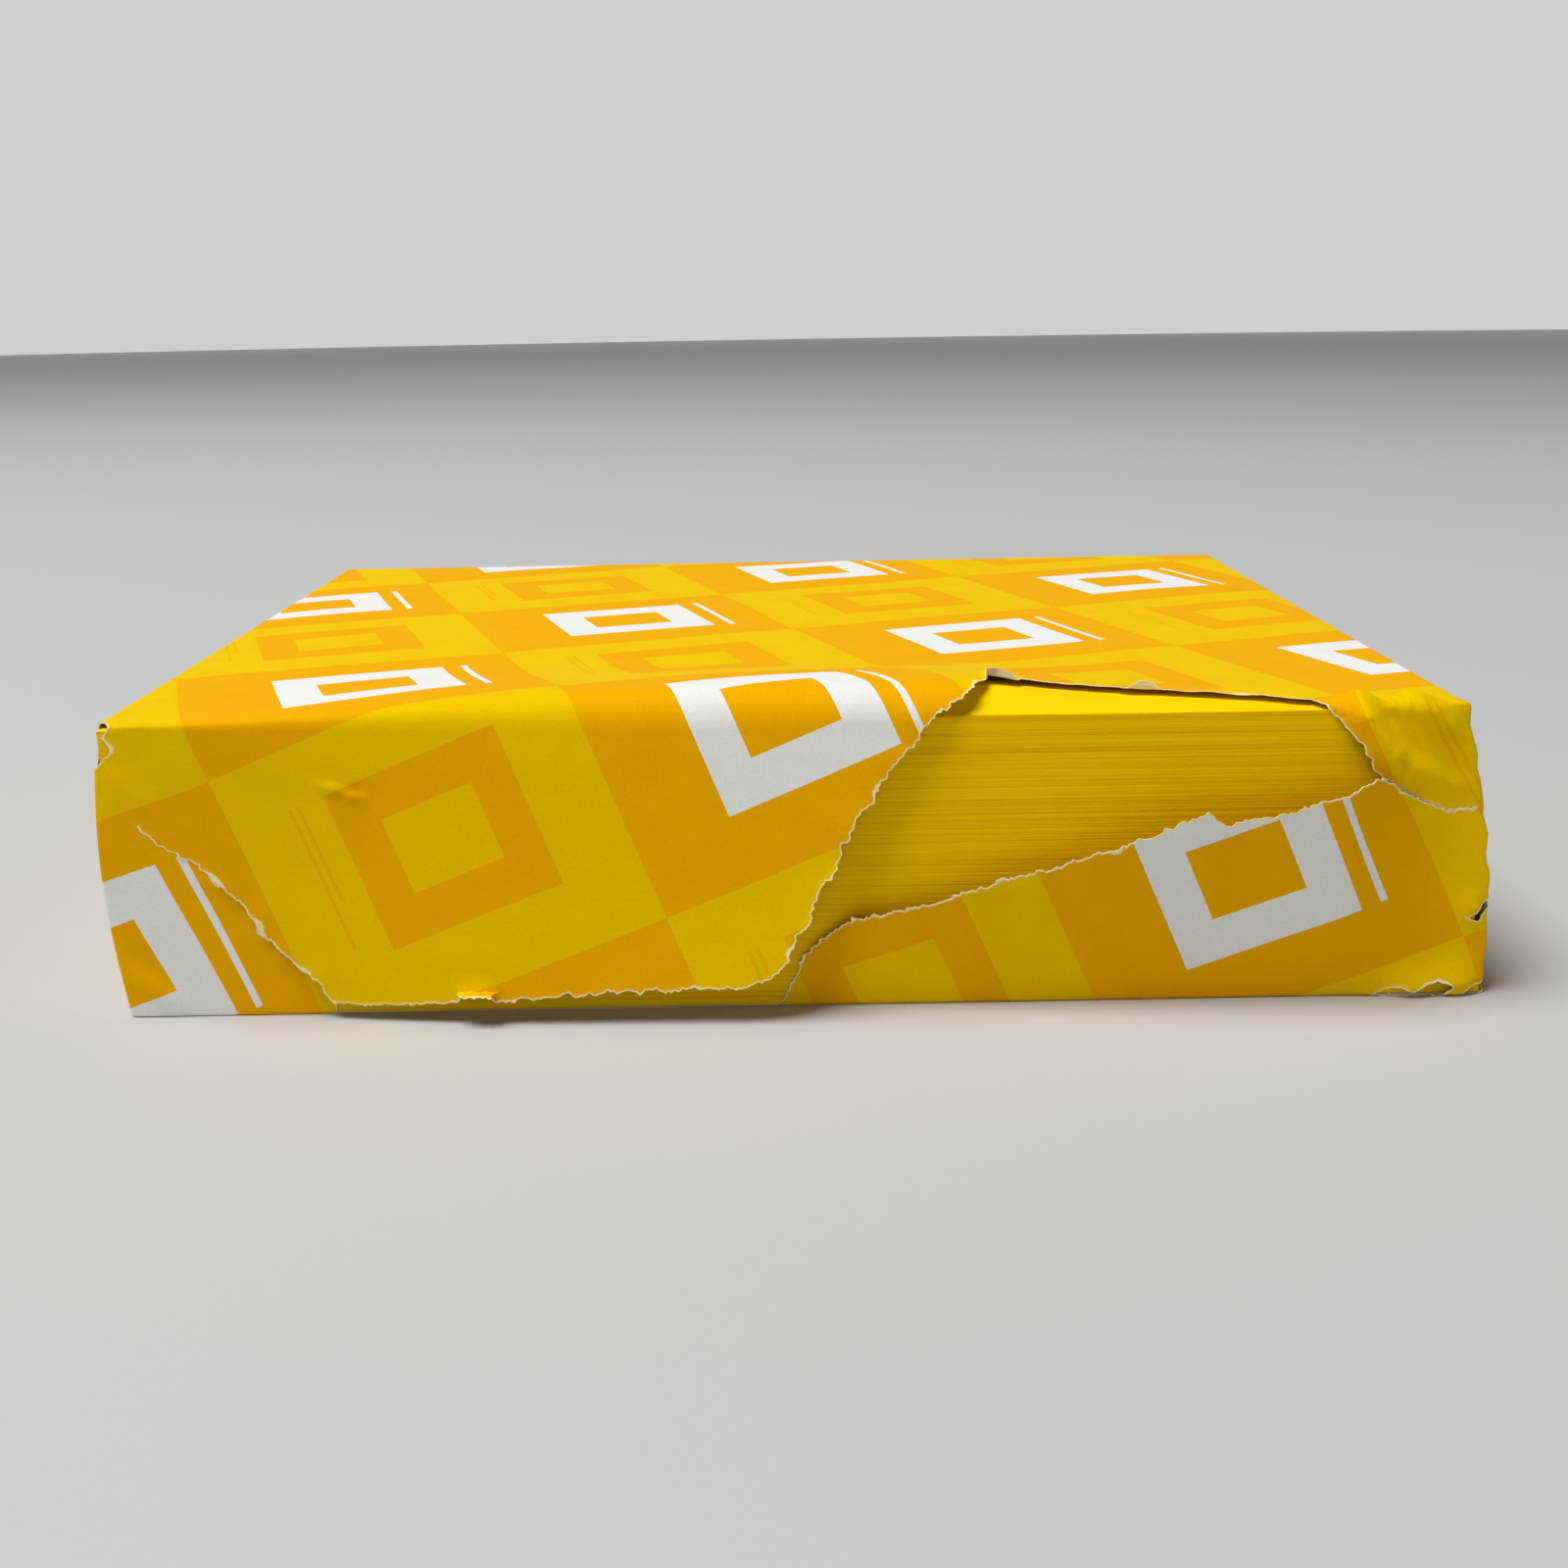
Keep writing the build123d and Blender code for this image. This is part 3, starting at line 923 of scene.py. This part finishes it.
def fold_ends(x, s, behind, height):
    """Folds all that lies beyond the ends over them, and gives the points' places in mm."""
    beyond = abs(x) - sheet_end
    t = np.clip((beyond + CREASE) / (2 * CREASE), 0, 1)
    along = np.where(beyond < -CREASE, beyond, -CREASE * (1 - t) ** 2)
    drop = np.where(beyond > CREASE, beyond, CREASE * t**2)

    def share_after(start, border):
        """0 before a fold and 1 after it, eased over the crease except out on the flaps."""
        eased = np.clip((s - start + CREASE) / (2 * CREASE), 0, 1)
        return np.where(beyond > CREASE, (s > start + border).astype(float), eased)

    # A tuck's two long borders lie on the folds, and belong to the tuck
    back_part, top_part = share_after(under_back, -ROUNDING), share_after(over_back, ROUNDING)
    front_part, under_part = share_after(0.0, -ROUNDING), share_after(side, ROUNDING)
    height = height + drop * ((1 - back_part) - top_part * (1 - front_part) + under_part)
    behind = behind + drop * (front_part * (1 - under_part) - back_part * (1 - top_part))
    front_tuck = (s > -ROUNDING) & (s < side + ROUNDING)
    tuck = front_tuck | (s > under_back - ROUNDING) & (s < over_back + ROUNDING)
    height += np.where(tuck, (top / 2 - height) * TUCK_INSET * ease(beyond, 0, 3), 0)

    below = [LAYERS["tuck"], LAYERS["inner"], LAYERS["outer"]]
    layer = np.select([tuck, s < under_back, s > side], below, LAYERS["top"])
    reach = sheet_end + along + layer * ease(beyond, 0, LAYER_RAMP)
    swollen = np.sin(pi * np.clip(height / top, 0, 1))
    reach += END_SWELL * swollen * ease(beyond, -SWELL_REACH, 0)
    dents = np.array([noise.noise(Vector((level / DENT_HEIGHT, 2.0, 9.0))) for level in height])
    dents = np.clip(dents + 0.35, 0, None) * np.exp(-np.clip(behind, 0, None) / DENT_REACH)
    reach += EDGE_DENTS * dents * ease(x, sheet_end - DENT_WIDTH, sheet_end)
    return np.stack([np.sign(x) * reach + lean_shift(height), front + behind, height], axis=1)


# %% The folded sheet
def folded(x, s, lower, torn):
    """Where each point of the flat sheet is once it is folded, in mm."""
    held = np.clip(x, -sheet_end, sheet_end)
    behind, height = tight_section(s)
    loose = ease(held, -138, -108) * (1 - ease(held, 116, 134))
    loose = np.where(lower | (s < LOOSE_FROM) | (s > side + 1), 0, loose)
    loose_behind, loose_height = loose_section(held, s)
    behind += loose * (loose_behind - behind)
    height += loose * (loose_height - height)
    out, up = bent(x, s, lower, torn)
    outward = slack(x, s, lower, torn)
    height += up + np.where((s < 0) & (s > over_back), outward, 0)
    behind -= out + np.where((s >= 0) & (s < side), outward, 0)
    return fold_ends(x, s, behind, height)


room = folded(flat[:, 0], flat[:, 1], lower, torn)
print("folded, mm:", room.min(axis=0).round(1), room.max(axis=0).round(1))

# %% [markdown]
# ## The wrapper's mesh
#
# The folded points and the flat triangles make the mesh, and the flat places become its UV map. The
# borders are marked sharp, so that they aren't shaded round, and a Solidify modifier gives the paper
# its thickness, with the reverse's material on the inner side.

# %% The wrapper's mesh
PAPER_THICKNESS = 0.15

mesh = bpy.data.meshes.new("wrapper_sheet")
mesh.from_pydata((room * MM).tolist(), [], faces.tolist())
flat_map = mesh.uv_layers.new(name="flat_sheet")
corner_points = np.empty(len(mesh.loops), int)
mesh.loops.foreach_get("vertex_index", corner_points)
flat_map.data.foreach_set("uv", (flat * (1, -1))[corner_points].astype(np.float32).ravel())
torn_mark = mesh.attributes.new("torn", "FLOAT", "POINT")
torn_mark.data.foreach_set("value", torn.astype(np.float32))
mesh.materials.append(outer_paper)
mesh.materials.append(inner_paper)
wrapper = bpy.data.objects.new("wrapper_sheet", mesh)
bpy.context.scene.collection.objects.link(wrapper)

only(wrapper)
bpy.ops.object.shade_smooth_by_angle(angle=radians(50))
bpy.ops.object.mode_set(mode="EDIT")
bpy.ops.mesh.select_mode(type="EDGE")
bpy.ops.mesh.select_all(action="DESELECT")
bpy.ops.mesh.select_non_manifold()
bpy.ops.mesh.mark_sharp()
bpy.ops.object.mode_set(mode="OBJECT")

bpy.ops.object.modifier_add(type="SOLIDIFY")
thickness = wrapper.modifiers[-1]
thickness.thickness = PAPER_THICKNESS * MM
thickness.offset = -1
thickness.material_offset = 1
thickness.material_offset_rim = 0
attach(wrapper, "root")
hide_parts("wrapper")
print("wrapper:", len(mesh.polygons), "faces before its thickness")

# %% [markdown]
# ## The loose sheets on top
#
# Where the wrapper has lifted, the uppermost sheets have lifted with it and slope down from under
# its torn lip to the edge of the block. A grid is laid on the stack, and each of its rows is raised
# towards the wrapper above it.

# %% Loose sheets
LOOSE_DEPTH = 60.0  # how far back from the torn side the sheets are loose
FOLLOW = 0.91  # how much of the wrapper's lift they follow
SHORTER = 0.2  # than the stack, so that their ends don't show beside it
SET_BACK = 0.5
ON_STACK = 0.06
LOOSE_THICKNESS = 0.3

deselect_all()
bpy.ops.mesh.primitive_grid_add(x_subdivisions=112, y_subdivisions=40, size=1)
loose_sheets = bpy.context.object
loose_sheets.name = "loose_sheets"
spots = np.empty(len(loose_sheets.data.vertices) * 3)
loose_sheets.data.vertices.foreach_get("co", spots)
spots = spots.reshape(-1, 3)
along = spots[:, 0] * (SHEET_LENGTH - SHORTER)
deep = (spots[:, 1] + 0.5) * LOOSE_DEPTH + SET_BACK
_, under_wrapper = loose_section(along, -deep)
lying = stack_high[2] - (1 - FRONT_SQUASH) * stack_height * (1 - deep / depth) + ON_STACK
lift = (under_wrapper - top) * FOLLOW * ease(deep, -1, 11)
spots[:, 0] = along + lean_shift(lying)
spots[:, 1] = front + deep
spots[:, 2] = lying + lift
loose_sheets.data.vertices.foreach_set("co", (spots * MM).ravel())
only(loose_sheets)
bpy.ops.object.modifier_add(type="SOLIDIFY")
loose_sheets.modifiers[-1].thickness = LOOSE_THICKNESS * MM
loose_sheets.modifiers[-1].offset = -1
bpy.ops.object.modifier_apply(modifier=loose_sheets.modifiers[-1].name)
bpy.ops.object.shade_smooth_by_angle(angle=radians(40))
loose_sheets.data.materials.append(sheet_material)
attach(loose_sheets, "root")
print("loose sheets rise", round(float(lift.max()), 1), "mm at most")
